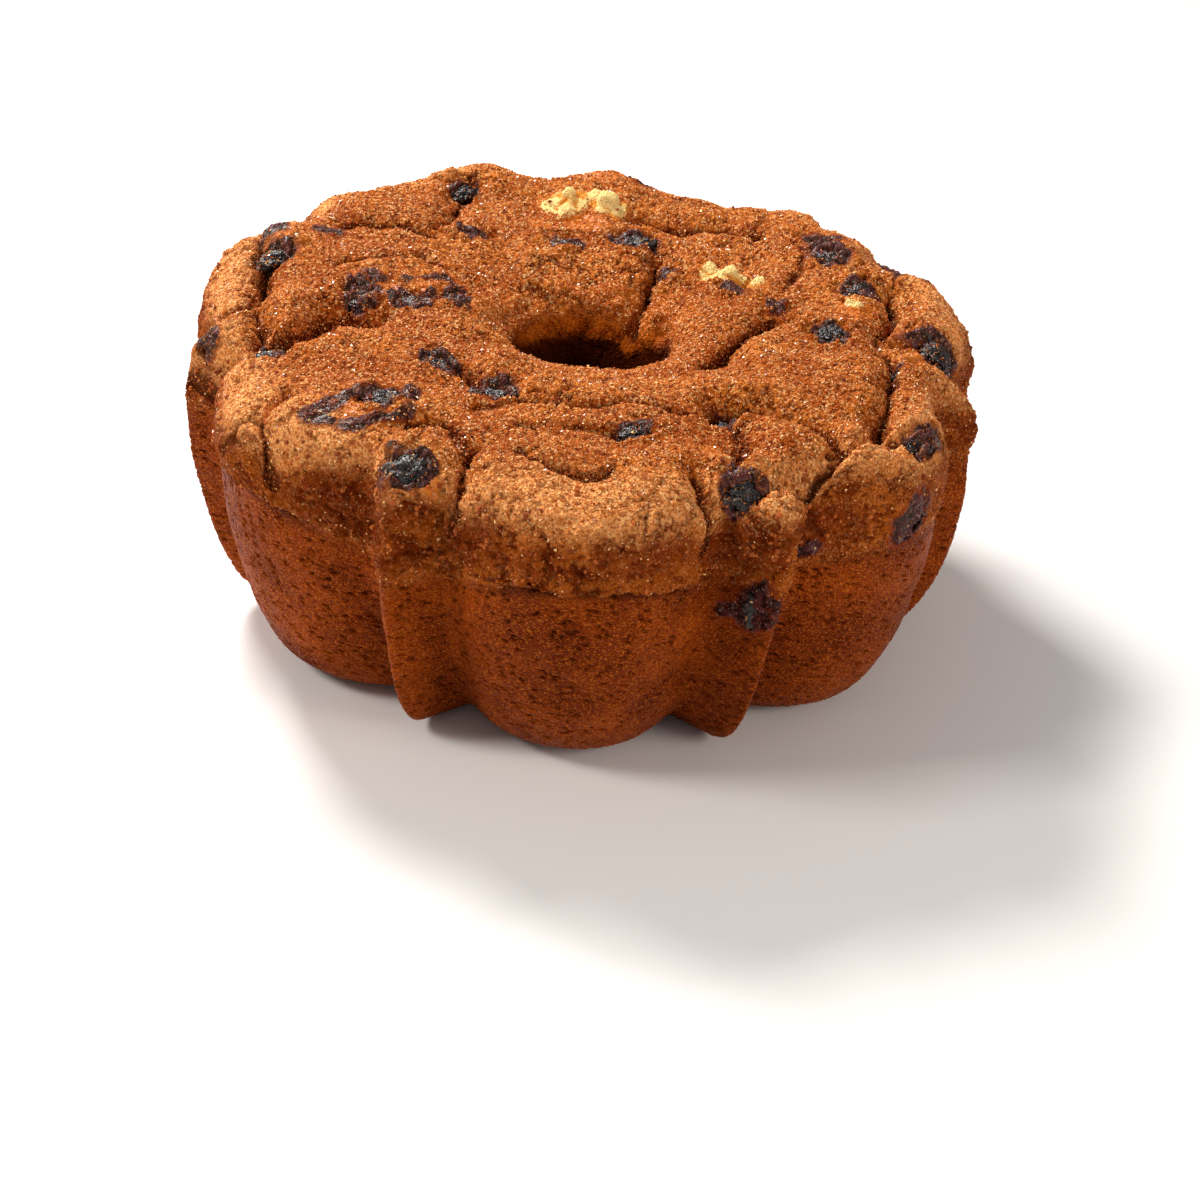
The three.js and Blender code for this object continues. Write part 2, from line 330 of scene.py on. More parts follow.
on_top = smooth_step(level, *crust_levels)
z = np.maximum(level, 0) + on_top * (crust_slope * y + swell - fold_depth) - np.where(on_side, droop, 0)
skin = np.stack([x.ravel(), y.ravel(), z.ravel()], 1)

# Each berry sits in a ragged hollow with a low collar: in places the crust laps over its edge, in others it
# gapes. A gap is how far a place of the crust lies outside the berry's solid.
berry_nodes = sorted(name for name in frame["nodes"] if name.startswith("berry"))
hollow_margin = 8
ragged_scale = 260
edge_gap = 0.3
edge_spread = 1.1
edge_dips = (-1.3, 1.6)
collar_rise = 1.3
collar_gap = 2.6
collar_spread = 1.6
covered_gap = -0.6
deepest_hollow = 6
reach_of_juice = 0.7
soaked = {
    "berry_03": 1.4, "berry_05": 1.2, "berry_10": 1.6, "berry_11": 1.4, "berry_13": 2.4, "berry_17": 1.6,
    "berry_21": 2, "berry_22": 1.6, "berry_24": 1.6, "berry_26": 2.2, "berry_27": 2.2,
}


def merged_solid(name):
    """A copy of a node's mesh, with its loose triangles joined"""
    solid = bmesh.new()
    solid.from_mesh(bpy.data.objects[name].data)
    bmesh.ops.remove_doubles(solid, verts=solid.verts, dist=1e-6)
    return solid


juice = np.zeros(len(skin))
sink = np.zeros(len(skin))
for name in berry_nodes:
    low, high = (np.array(corner) * 1000 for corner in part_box(name))
    near = np.all((skin > low - hollow_margin) & (skin < high + hollow_margin), axis=1)
    reach = soaked.get(name, reach_of_juice)
    solid = merged_solid(name)
    berry_tree = BVHTree.FromBMesh(solid)
    for i in np.flatnonzero(near):
        place = Vector(skin[i] / 1000)
        closest, normal, _, distance = berry_tree.find_nearest(place)
        gap = 1000 * math.copysign(distance, (place - closest).dot(normal))
        ragged = noise.noise(place * ragged_scale)
        edge = math.exp(-(((gap - edge_gap) / edge_spread) ** 2))
        collar = math.exp(-(((gap - collar_gap) / collar_spread) ** 2))
        dip = edge * min(edge_dips[1], max(edge_dips[0], 0.6 - 3.2 * ragged))
        dip -= collar_rise * collar * (0.6 + 1.5 * ragged)
        inside = min(deepest_hollow, covered_gap - gap) + 2 * smooth_step(-gap, -covered_gap, 2)
        sink[i] = max(dip, inside) if gap < covered_gap else sink[i] + dip
        juice[i] = max(juice[i], math.exp(-((max(gap, 0) / reach) ** 2)))
    solid.free()

# Juice that ran over the crust from burst berries: the two ends of each run, and its half width
stains = [
    ((-75, 34), (-73, 35), 3), ((-97, -26), (-98, -22), 2.2), ((9, 90), (12, 88), 3.6),
    ((83, 44), (87, 41), 3.6), ((93, 37), (92, 33), 2.6), ((-89, 35), (-90, 30), 3.4),
    ((-65, -71), (-59, -63), 2.6), ((-59, -63), (-50, -60), 2.4), ((-50, -60), (-42, -59), 1.6),
    ((63, 56), (69, 54), 4.4), ((84, -1), (92, 2), 2.2), ((92, 2), (98, -3), 2.6),
    ((98, -3), (100, -10), 2.6), ((-64, -72), (-54, -74), 1.8), ((-54, -74), (-43, -70), 1.8),
    ((-64, -5), (-62, 8), 2.2), ((-62, 8), (-56, 7), 2), ((-50, 12), (-41, 16), 2),
    ((-41, 16), (-36, 8), 2), ((-36, 8), (-36, -2), 2.2), ((-27, -56), (-21, -56), 2),
    ((-47, -93), (-47, -88), 3),
]
stain_edge = (1.5, 0.4)
stain_wander = 1.1
stain_wander_size = 6
stain_widths = (0.2, 2)
upper = smooth_step(level, crust_level - 13, crust_level - 8).ravel()
uneven = np.ones(len(skin))
uneven[top_part] += stain_wander * wander(plan[top_part], stain_wander_size)[:, 0]
uneven = np.clip(uneven, *stain_widths)
for start, end, width in stains:
    from_run = away_from(wandered, start, end) / (1.2 * width * uneven)
    juice = np.maximum(juice, upper * smooth_step(from_run, *stain_edge))

# On the side, by direction in degrees and level: juice that boiled out through the crust, and pale crumb
side_stains = [((-68, 47), (-62, 54), 2.8), ((-62, 54), (-55, 62), 2.4), ((-43, 63), (-41, 70), 3)]
tan_strip = ((-37, 62), (-35, 72), 2.6)
bearing = np.arctan2(y, x).ravel()
side_places = np.stack([rim_radius * bearing, z.ravel()], 1)


def run_on_side(start, end, width):
    """1 along a run on the side of the cake, 0 away from it"""
    ends = [(rim_radius * math.radians(degrees), height) for degrees, height in (start, end)]
    return smooth_step(away_from(side_places, *ends) / width, *stain_edge) * on_side.ravel()


for run in side_stains:
    juice = np.maximum(juice, run_on_side(*run))

# Pale crumb shows in nuggets where the crust tore, and moist yellow dough beside it: x, y, radius
torn_spots = [
    (-10, 70, 7), (-3, 72, 4), (2.5, 69, 5.5), (42, 27, 5), (35, 31, 6.5), (36, -79, 3.6), (70, 13, 2),
]
moist_spots = [
    (-0.4, 88, 6), (29, 38, 6), (88, -12, 6), (94, -9, 5), (71, 11, 5), (32, -76, 4), (-34, -94, 2.4),
    (-52, 2, 5), (-46, 8, 4), (-55, -67, 4), (-16, 57, 5), (-4, 60, 6), (44, 24, 4),
]


def covered_by(spots):
    covered = np.zeros(len(skin))
    for cx, cy, r in spots:
        away = np.hypot(wandered[:, 0] - cx, wandered[:, 1] - cy) / r
        covered = np.maximum(covered, smooth_step(away, *stain_edge))
    return covered * upper


def between_levels(low, high):
    """0 at one depth under the crust's level and 1 at another, eased between"""
    return smooth_step(level, crust_level - low, crust_level - high)


# The band is most broken by the front lobe's two ridges and at the back: direction in degrees, and spread
broken_bands = [(-112, 12), (-98, 9), (-62, 9), (40, 20), (150, 18)]
least_broken = 0.3
bearing_degrees = np.degrees(bearing.reshape(x.shape))
broken = least_broken + sum(hump(bearing_degrees, *band) for band in broken_bands)
shoulder = smooth_step(radius, rim_radius - 20, rim_radius - 8) * between_levels(16, 7)
by_the_hole = smooth_step(radius, hole_radius + 11, hole_radius + 3)
at_its_back = smooth_step(y, 0, 14)
darker_from = level + 5.5 * at_its_back
weights = {
    "crust": past_lip * np.where(on_side, 1, between_levels(7, 3)),
    "rim": past_lip * on_side * shoulder,
    "band": past_lip * on_side * between_levels(4, 14),
    "craggy": np.minimum(broken, 1) * past_lip * on_side * between_levels(2, 10),
    # crack: the line of each fold, where the finish paints the crease's shade
    "crack": crack.reshape(x.shape) * on_top,
    "juice": juice,
    "pale": covered_by(torn_spots),
    "moist": covered_by(moist_spots),
    # crest: the ridges' crests, painted lighter on the side as a painted highlight
    "crest": on_crest * on_side * (1 - 0.6 * past_lip),
    # under: a dark line just below the lip, painted shadow of its overhang over a darker baked line
    "under": on_side * lip_share * hump(above_lip, -2.2, 1.9),
    # lip: a golden line along the lip's rounded edge, a painted highlight
    "lip": on_side * lip_share * past_lip * hump(above_lip, 2, 2.2),
    # hole: painted shade down the hole, starting deeper at its back wall
    "hole": by_the_hole * smooth_step(darker_from, crust_level - 3, crust_level - 8),
    "throat": by_the_hole * at_its_back * between_levels(19, 10) * (1 - on_side),
}
weights = {key: values.ravel() for key, values in weights.items()}
weights["rim"] = np.maximum(weights["rim"], run_on_side(*tan_strip))
weights["bare"] = (1 - weights["crust"]) * on_side.ravel()


def add_node(tree, kind, inputs=None, **settings):
    """A node with its settings, and its inputs by name or number, each a value or another node's output"""
    node = tree.nodes.new(kind)
    for name, value in settings.items():
        setattr(node, name, value)
    for name, value in (inputs or {}).items():
        if isinstance(value, bpy.types.NodeSocket):
            tree.links.new(value, node.inputs[name])
        else:
            node.inputs[name].default_value = value
    return node


def calc(tree, operation, *values):
    return add_node(tree, "ShaderNodeMath", dict(enumerate(values)), operation=operation).outputs[0]


def linear(tree, value, factor, base):
    """The value times a factor, plus a base"""
    return calc(tree, "MULTIPLY_ADD", value, factor, base)


def times(tree, *values):
    product = values[0]
    for value in values[1:]:
        product = calc(tree, "MULTIPLY", product, value)
    return product


def fade(tree, value, low, high):
    """0 at low and 1 at high, eased between"""
    span = {"Value": value, "From Min": low, "From Max": high}
    return add_node(tree, "ShaderNodeMapRange", span, interpolation_type="SMOOTHSTEP").outputs[0]


def on_vectors(tree, operation, *values, **named):
    inputs = {**dict(enumerate(values)), **named}
    return add_node(tree, "ShaderNodeVectorMath", inputs, operation=operation).outputs[0]


def keep_attribute(tree, geometry, key, value, domain):
    inputs = {"Geometry": geometry, "Name": key, "Value": value}
    kind = "GeometryNodeStoreNamedAttribute"
    return add_node(tree, kind, inputs, data_type="FLOAT", domain=domain).outputs[0]


def weight_in(tree, key):
    return add_node(tree, "GeometryNodeInputNamedAttribute", {"Name": key}, data_type="FLOAT").outputs[0]


def new_tree(name, sizes):
    """A Geometry Nodes tree with a geometry in and out and a named number for each size"""
    tree = bpy.data.node_groups.new(name, "GeometryNodeTree")
    tree.interface.new_socket("Geometry", in_out="INPUT", socket_type="NodeSocketGeometry")
    tree.interface.new_socket("Geometry", in_out="OUTPUT", socket_type="NodeSocketGeometry")
    for size in sizes:
        tree.interface.new_socket(size, in_out="INPUT", socket_type="NodeSocketFloat")
    return tree


def evaluated_mesh(holder):
    """A plain mesh of what an object's modifiers make, after which the object is removed"""
    graph = bpy.context.evaluated_depsgraph_get()
    plain = bpy.data.meshes.new_from_object(holder.evaluated_get(graph))
    holder.modifiers.clear()
    bpy.data.objects.remove(holder)
    return plain


def placed(name, mesh):
    item = bpy.data.objects.new(name, mesh)
    bpy.context.scene.collection.objects.link(item)
    return item


def grow(tree, sizes, mesh):
    """The plain mesh that the tree makes of a mesh, with these sizes"""
    holder = placed("holder", mesh)
    modifier = holder.modifiers.new(tree.name, "NODES")
    modifier.node_group = tree
    for item in tree.interface.items_tree:
        if item.name in sizes:
            modifier[item.identifier] = sizes[item.name]
    return evaluated_mesh(holder)


def mesh_of(name, places, faces, attributes):
    mesh = bpy.data.meshes.new(name)
    mesh.from_pydata(places.tolist(), [], faces.tolist())
    for key, values in attributes.items():
        attribute = mesh.attributes.new(key, "FLOAT", "POINT")
        attribute.data.foreach_set("value", values.astype(np.float32))
    mesh.shade_smooth()
    return mesh


def ring_of_quads(first_rows, next_rows):
    """Faces between each row of columns and the next, all the way round"""
    across = np.arange(columns)
    beside = (across + 1) % columns
    here = first_rows[:, None] * columns
    below = next_rows[:, None] * columns
    return np.stack([here + across, below + across, below + beside, here + beside], -1).reshape(-1, 4)


# The finer relief, in metres: lumps and knobs, crags on the broken band, clumps and grains of crumble,
# cracks, nuggets of torn crumb, wrinkled stains, pits in the baked side and burst bubbles in the rim
relief_sizes = {
    "Lump height": 0.003, "Lump size": 0.021, "Knob height": 0.001, "Knob size": 0.0078,
    "Crag height": 0.0055, "Crag size": 0.0075, "Clump height": 0.0007, "Clump size": 0.0027,
    "Grain height": 0.0008, "Grain size": 0.0011, "Crackle depth": 0.0013, "Crackle size": 0.011,
    "Wrinkle height": 0.002, "Wrinkle size": 0.003, "Pit depth": 0.0011, "Pit size": 0.003,
    "Bubble depth": 0.003, "Bubble size": 0.012, "Nugget height": 0.004, "Nugget size": 0.0055,
}
relief_roughness = 0.6
even = (1, 1, 1)
flat_pits = (1, 1, 2.8)
flat_bubbles = (1, 1, 1.2)
relief = new_tree("crust_relief", relief_sizes)
asked = add_node(relief, "NodeGroupInput").outputs
skin_place = add_node(relief, "GeometryNodeInputPosition").outputs[0]
outward = add_node(relief, "GeometryNodeInputNormal").outputs[0]
crust, rim, bare, pale, juicy, craggy, throat = (
    weight_in(relief, key) for key in ("crust", "rim", "bare", "pale", "juice", "craggy", "throat")
)


def bent_place(size, push):
    """Places pushed about at random, so that cells laid on them don't look regular"""
    bend_settings = {"Vector": skin_place, "Scale": 1 / size, "Detail": 2.0}
    bend = add_node(relief, "ShaderNodeTexNoise", bend_settings).outputs[1]
    return on_vectors(relief, "ADD", skin_place, on_vectors(relief, "SCALE", bend, Scale=push))


def relief_noise(size, detail):
    """Noise between about -1 and 1, of one of the sizes asked for"""
    scale = calc(relief, "DIVIDE", 1, asked[size])
    settings = {"Vector": skin_place, "Scale": scale, "Detail": detail, "Roughness": relief_roughness}
    centred = add_node(relief, "ShaderNodeTexNoise", settings).outputs[0]
    return times(relief, calc(relief, "SUBTRACT", centred, 0.5), 2)


def relief_cells(size, stretch, vector):
    """Distance from the middle of the nearest cell, and that cell's own random number"""
    scale = calc(relief, "DIVIDE", 1, asked[size])
    stretched = on_vectors(relief, "MULTIPLY", vector, stretch)
    cells = add_node(relief, "ShaderNodeTexVoronoi", {"Vector": stretched, "Scale": scale}).outputs
    return cells["Distance"], cells["Color"]


def domes(size, bend, push, reach):
    """A rounded dome in each cell, above zero as far as its reach from the cell's middle"""
    return calc(relief, "SUBTRACT", reach, relief_cells(size, even, bent_place(bend, push))[0])


dry = linear(relief, juicy, -0.9, 1)
on_crust = times(relief, crust, dry)
lumps = times(relief, relief_noise("Lump size", 1), asked["Lump height"], linear(relief, crust, 0.8, 0.2))
knobs = times(relief, relief_noise("Knob size", 2), asked["Knob height"], crust)
crags = calc(relief, "SUBTRACT", calc(relief, "ABSOLUTE", relief_noise("Crag size", 4)), 0.2)
crags = times(relief, crags, asked["Crag height"], craggy)
patchy = fade(relief, relief_noise("Lump size", 2), -0.3, 0.3)
clumpy = times(relief, on_crust, linear(relief, patchy, 0.7, 0.1), linear(relief, rim, -0.7, 1))
clumpy = linear(relief, craggy, 0.8, clumpy)
clumps = times(relief, domes("Clump size", 0.004, 0.003, 0.45), asked["Clump height"], clumpy)
nugget_here = linear(relief, craggy, 0.3, linear(relief, throat, 0.8, pale))
nuggets = times(relief, domes("Nugget size", 0.004, 0.002, 0.8), asked["Nugget height"], nugget_here)
grains = times(relief, domes("Grain size", 0.0015, 0.001, 0.45), asked["Grain height"], dry)
grains = times(relief, grains, linear(relief, rim, -0.45, 1), linear(relief, bare, -0.5, 1))
wrinkles = calc(relief, "ABSOLUTE", relief_noise("Wrinkle size", 1))
wrinkles = times(relief, wrinkles, asked["Wrinkle height"], juicy)
crackle_scale = calc(relief, "DIVIDE", 1, asked["Crackle size"])
crackle_settings = {"Vector": bent_place(0.006, 0.006), "Scale": crackle_scale}
crackle_cells = add_node(relief, "ShaderNodeTexVoronoi", crackle_settings, feature="DISTANCE_TO_EDGE")
crackle = times(relief, fade(relief, crackle_cells.outputs[0], 0.1, 0.0), on_crust)
crackle = times(relief, crackle, fade(relief, relief_noise("Lump size", 3), 0.0, 0.4))
pit_far, pit_pick = relief_cells("Pit size", flat_pits, bent_place(0.004, 0.001))
pits = times(relief, fade(relief, pit_far, 0.42, 0.14), fade(relief, pit_pick, 0.38, 0.5), bare)
bubble_far, bubble_pick = relief_cells("Bubble size", flat_bubbles, skin_place)
bubbles = times(relief, fade(relief, bubble_far, 0.15, 0.06), fade(relief, bubble_pick, 0.5, 0.56))
bubbles = times(relief, bubbles, calc(relief, "MAXIMUM", rim, craggy))
crumble = calc(relief, "ADD", clumps, grains)
fine = calc(relief, "ADD", crumble, calc(relief, "ADD", wrinkles, nuggets))
coarse = calc(relief, "ADD", lumps, knobs)
dips = times(relief, pits, asked["Pit depth"])
dips = linear(relief, bubbles, asked["Bubble depth"], dips)
dips = linear(relief, crackle, asked["Crackle depth"], dips)
relief_height = calc(relief, "SUBTRACT", calc(relief, "ADD", coarse, calc(relief, "ADD", crags, fine)), dips)
# The rise, pits and crackle are kept for the finish, which paints shade and highlights from them
risen_marks = {
    "rise": calc(relief, "DIVIDE", linear(relief, crags, 0.3, fine), 0.001),
    "pit": calc(relief, "ADD", pits, bubbles),
    "crackle": crackle,
}
shaped = asked["Geometry"]
for key, value in risen_marks.items():
    shaped = keep_attribute(relief, shaped, key, value, "POINT")
pushed_out = {"Geometry": shaped, "Offset": on_vectors(relief, "SCALE", outward, Scale=relief_height)}
add_node(relief, "NodeGroupOutput", {0: add_node(relief, "GeometryNodeSetPosition", pushed_out).outputs[0]})

skin[:, 2] -= sink * (weights["crust"] > 0.5)
all_rows = np.arange(rows)
dough = mesh_of("dough", skin / 1000, ring_of_quads(all_rows, (all_rows + 1) % rows), weights)
risen = grow(relief, relief_sizes, dough)


def read_from(source, key, width):
    """One number, or one row of numbers, for each item of a mesh"""
    values = np.empty(len(source) * width, dtype=np.float32)
    source.foreach_get(key, values)
    return values if width == 1 else values.reshape(-1, width)


risen_places = read_from(risen.vertices, "co", 3)
risen_places[:, 2] = np.maximum(risen_places[:, 2], 0)
risen_normals = read_from(risen.vertex_normals, "vector", 3)
for key in risen_marks:
    weights[key] = read_from(risen.attributes[key].data, "value", 1)


def from_screen(red, green, blue):
    """A colour given as it shows on a screen, 0 to 255, as the light values that a shader takes"""
    screen = np.array([red, green, blue]) / 255
    light = np.where(screen > 0.04045, ((screen + 0.055) / 1.055) ** 2.4, screen / 12.92)
    return (*light.tolist(), 1)


def new_finish(name):
    """A material and its tree, empty as yet"""
    finish = bpy.data.materials.new(name)
    finish.use_nodes = True
    finish.node_tree.nodes.clear()
    return finish, finish.node_tree


def object_place(tree):
    return add_node(tree, "ShaderNodeTexCoord").outputs["Object"]


def end_finish(tree, surface):
    """Closes a material's tree with one shader that has these inputs"""
    shader = add_node(tree, "ShaderNodeBsdfPrincipled", surface)
    add_node(tree, "ShaderNodeOutputMaterial", {"Surface": shader.outputs[0]})


def grain(tree, vector, size, detail=2, roughness=0.5):
    settings = {"Vector": vector, "Scale": 1 / size, "Detail": detail, "Roughness": roughness}
    return add_node(tree, "ShaderNodeTexNoise", settings).outputs[0]


def bumped(tree, height, strength, distance):
    settings = {"Height": height, "Strength": strength, "Distance": distance}
    return add_node(tree, "ShaderNodeBump", settings).outputs[0]


def stored(tree, name):
    return add_node(tree, "ShaderNodeAttribute", attribute_name=name).outputs["Fac"]


def tinted(tree, share, under, over):
    """The colour under, with the colour over laid on it by a share"""
    return add_node(tree, "ShaderNodeMix", {0: share, 6: under, 7: over}, data_type="RGBA").outputs[2]


def layered(tree, colour, layers):
    """A colour with others laid over it in turn: the strength of each, where it lies, and the colour"""
    for strength, where, over in layers:
        colour = tinted(tree, times(tree, where, strength), colour, over)
    return colour


# The crust and the baked side share one finish, which follows the weights from bare side to sugared crust
cake_finish, cake_shade = new_finish("cake_finish")
on_cake = object_place(cake_shade)


def cake_fade(value, low, high):
    return fade(cake_shade, value, low, high)


def cake_grain(size, detail, roughness):
    return grain(cake_shade, on_cake, size, detail, roughness)


def cake_mark(key):
    return stored(cake_shade, key)


cinnamon = from_screen(168, 79, 20)
golden = from_screen(206, 115, 40)
rim_tan = from_screen(246, 164, 94)
band_brown = from_screen(114, 41, 6)
band_gold_and_lip_highlight = from_screen(164, 81, 19)
speck_and_crevice_shade = from_screen(96, 28, 0)
crack_shade = from_screen(70, 15, 2)
sugar_speck = from_screen(252, 200, 136)
throat_orange = from_screen(208, 106, 26)
mahogany = from_screen(108, 34, 2)
tin_orange_and_crest_highlight = from_screen(154, 62, 7)
side_speck = from_screen(212, 118, 36)
fleck_and_shade_brown = from_screen(50, 10, 1)
hole_shade = from_screen(56, 12, 2)
crumb_yellow = from_screen(246, 212, 138)
crumb_orange_shade = from_screen(222, 140, 52)
moist_orange = from_screen(214, 114, 24)
juice_black = from_screen(26, 8, 9)
juice_purple_highlight = from_screen(80, 38, 40)
juice_brown = from_screen(120, 40, 14)
juice_dust = from_screen(206, 178, 166)
warm_gloss = from_screen(255, 176, 112)
patch_size = 0.02
band_patch_size = 0.016
rim_patch_size = 0.006
throat_patch_size = 0.005
ragged_size = 0.0036
dust_size = 0.0008
sand_size = 0.0007
side_sand_size = 0.0008
speck_size = 0.0006

rise = cake_mark("rise")
speck_settings = {"Vector": on_cake, "Scale": 1 / speck_size}
specks = add_node(cake_shade, "ShaderNodeTexVoronoi", speck_settings).outputs
light_specks = cake_fade(specks["Color"], 0.66, 0.8)
dark_specks = cake_fade(specks["Color"], 0.4, 0.26)
crust_patches = cake_fade(cake_grain(patch_size, 4, 0.6), 0.36, 0.66)
band_patches = cake_fade(cake_grain(band_patch_size, 4, 0.6), 0.45, 0.65)
rim_patches = cake_fade(cake_grain(rim_patch_size, 5, 0.65), 0.36, 0.52)
off_band = linear(cake_shade, cake_mark("band"), -0.85, 1)
crust_colour = layered(cake_shade, tinted(cake_shade, crust_patches, cinnamon, golden), [
    (1, times(cake_shade, cake_mark("rim"), linear(cake_shade, rim_patches, 0.45, 0.5)), rim_tan),
    (0.9, cake_mark("band"), tinted(cake_shade, band_patches, band_brown, band_gold_and_lip_highlight)),
    # Painted highlight: the lip's edge golden
    (0.8, cake_mark("lip"), band_gold_and_lip_highlight),
    # Painted shade: the low places of the relief, between clumps and grains, darkened as if in shadow
    (0.82, cake_fade(rise, 0.02, -0.26), speck_and_crevice_shade),
    (0.42, dark_specks, speck_and_crevice_shade),
    (0.5, times(cake_shade, light_specks, off_band), sugar_speck),
    # Painted shade: the fine crackle in the crust darkened
    (0.6, cake_mark("crackle"), crack_shade),
])

flatter = add_node(cake_shade, "ShaderNodeMapping", {"Vector": on_cake, "Scale": (1, 1, 2.3)}).outputs[0]
side_sand = grain(cake_shade, flatter, side_sand_size, 2, 0.6)
side_patches = cake_fade(cake_grain(patch_size, 3, 0.5), 0.3, 0.7)
throat_patches = cake_fade(cake_grain(throat_patch_size, 3, 0.6), 0.4, 0.6)
side_colour = layered(cake_shade, tinted(cake_shade, side_patches, mahogany, tin_orange_and_crest_highlight), [
    # Painted highlight: the ridges' crests lighter orange
    (0.3, cake_mark("crest"), tin_orange_and_crest_highlight),
    (0.55, cake_fade(side_sand, 0.52, 0.66), side_speck),
    (0.5, cake_fade(side_sand, 0.48, 0.34), fleck_and_shade_brown),
    # Painted shade: the low places of the side's relief darkened
    (0.35, cake_fade(rise, 0.0, -0.2), fleck_and_shade_brown),
    (0.6, times(cake_shade, cake_mark("throat"), throat_patches), throat_orange),
    # Painted shade: the inside of the hole darkened
    (0.9, cake_mark("hole"), hole_shade),
])

# Torn, moist and stained places have ragged edges, finer than the mesh
ragged_edge = calc(cake_shade, "SUBTRACT", cake_grain(ragged_size, 5, 0.7), 0.5)
ragged_edge = times(cake_shade, ragged_edge, 1.9)
moist = cake_fade(calc(cake_shade, "ADD", cake_mark("moist"), ragged_edge), 0.4, 0.7)
torn = cake_fade(calc(cake_shade, "ADD", cake_mark("pale"), ragged_edge), 0.42, 0.58)
stain = calc(cake_shade, "ADD", cake_mark("juice"), ragged_edge)
soaked_through = cake_fade(stain, 0.55, 0.95)
dust = cake_fade(cake_grain(dust_size, 3, 0.7), 0.56, 0.7)
crease_shade = cake_fade(linear(cake_shade, ragged_edge, 0.6, cake_mark("crack")), 0.3, 0.8)
skin_colour = layered(cake_shade, tinted(cake_shade, cake_mark("crust"), side_colour, crust_colour), [
    # Painted shade: pits and burst bubbles darkened inside
    (0.85, cake_mark("pit"), fleck_and_shade_brown),
    # Painted shadow under the lip's overhang, over a darker baked line there
    (0.92, cake_mark("under"), fleck_and_shade_brown),
    # Painted shade: the folds' cracks darkened, with ragged edges
    (0.88, crease_shade, crack_shade),
    (0.7, moist, moist_orange),
    # Torn crumb, pale yellow, with painted shade in orange where its relief is low
    (1, torn, tinted(cake_shade, cake_fade(rise, 0.9, 0.2), crumb_yellow, crumb_orange_shade)),
    (0.7, cake_fade(stain, 0.15, 0.55), juice_brown),
    # Soaked juice, near black, with a painted highlight in purple on its raised wrinkles and painted shade in
    # its hollows
    (0.94, soaked_through, tinted(cake_shade, cake_fade(rise, 0.12, 0.6), juice_black, juice_purple_highlight)),
    (0.38, times(cake_shade, cake_fade(stain, 0.4, 0.7), dust), juice_dust),
])

sand_height = calc(cake_shade, "ADD", cake_grain(sand_size, 2, 0.6), specks["Distance"])
dull = linear(cake_shade, cake_mark("crust"), 0.2, 0.5)
dull = linear(cake_shade, soaked_through, -0.3, dull)
dull = linear(cake_shade, moist, -0.3, dull)
wet = calc(cake_shade, "MAXIMUM", soaked_through, moist)
end_finish(cake_shade, {
    "Base Color": skin_colour,
    "Roughness": dull,
    "Normal": bumped(cake_shade, sand_height, 0.8, 0.0006),
    "Specular IOR Level": 0.12,
    "Specular Tint": warm_gloss,
    "Coat Weight": times(cake_shade, wet, 0.2, cake_mark("crust")),
    "Coat Roughness": 0.25,
})


def finished(name, mesh, material):
    """A piece of the cake in the scene, with its material, its body and the slot of its finish"""
    piece = placed(name, mesh)
    if material:
        mesh.materials.append(material)
    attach(piece, "root")
    return piece


def rows_of_skin(name, first, last):
    """The stretch of the risen skin between two rows, with the normals of the whole"""
    picked = (np.arange(first, last + 1)[:, None] % rows * columns + np.arange(columns)).ravel()
    down = np.arange(last - first)
    held = {key: values[picked] for key, values in weights.items()}
    mesh = mesh_of(name, risen_places[picked], ring_of_quads(down, down + 1), held)
    mesh.normals_split_custom_set_from_vertices(risen_normals[picked].tolist())
    return mesh


mid_crust = crust_rows // 2
mid_band = crust_rows + band_rows // 2
mid_side = top_rows + side_rows[0] // 2
side_end = top_rows + side_rows[0]
stretches_of_skin = {
    "crust_inner": (0, mid_crust),
    "crust_outer": (mid_crust, crust_rows),
    "lip_band_upper": (crust_rows, mid_band),
    "lip_band_lower": (mid_band, top_rows),
    "baked_side_upper": (top_rows, mid_side),
    "baked_side_lower": (mid_side, side_end),
    "foot_and_tube": (side_end, rows),
}
cake_pieces = {}
for name, (first, last) in stretches_of_skin.items():
    cake_pieces[name] = finished(name, rows_of_skin(name, first, last), cake_finish)
    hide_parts("cake")

# The berries are soft fruit that shrank and wrinkled in the oven, stuck in the crust by their own juice.
# Each starts from its solid, rounded, and its skin is pulled into folds. Some show the blossom end's crown.
berry_finish, berry_shade = new_finish("berry_finish")
on_berry = object_place(berry_shade)
berry_black = from_screen(22, 15, 17)
berry_wine = from_screen(60, 24, 30)
berry_bloom = from_screen(160, 142, 132)
wine_size = 0.006
bloom_size = 0.0012
bloom_patch_size = 0.009
berry_skin_size = 0.0016
wine = fade(berry_shade, grain(berry_shade, on_berry, wine_size, 3), 0.5, 0.7)
bloom = fade(berry_shade, grain(berry_shade, on_berry, bloom_size, 4, 0.75), 0.52, 0.66)
bloom_patches = fade(berry_shade, grain(berry_shade, on_berry, bloom_patch_size, 2), 0.45, 0.65)
bloom = times(berry_shade, bloom, 0.6, bloom_patches)
berry_colour = tinted(berry_shade, wine, berry_black, berry_wine)
berry_height = calc(berry_shade, "SUBTRACT", grain(berry_shade, on_berry, berry_skin_size, 3, 0.6), 0.5)
end_finish(berry_shade, {
    "Base Color": tinted(berry_shade, bloom, berry_colour, berry_bloom),
    "Roughness": linear(berry_shade, bloom, 0.5, 0.32),
    "Normal": bumped(berry_shade, calc(berry_shade, "ABSOLUTE", berry_height), 0.8, 0.0012),
    "Specular IOR Level": 0.45,
})

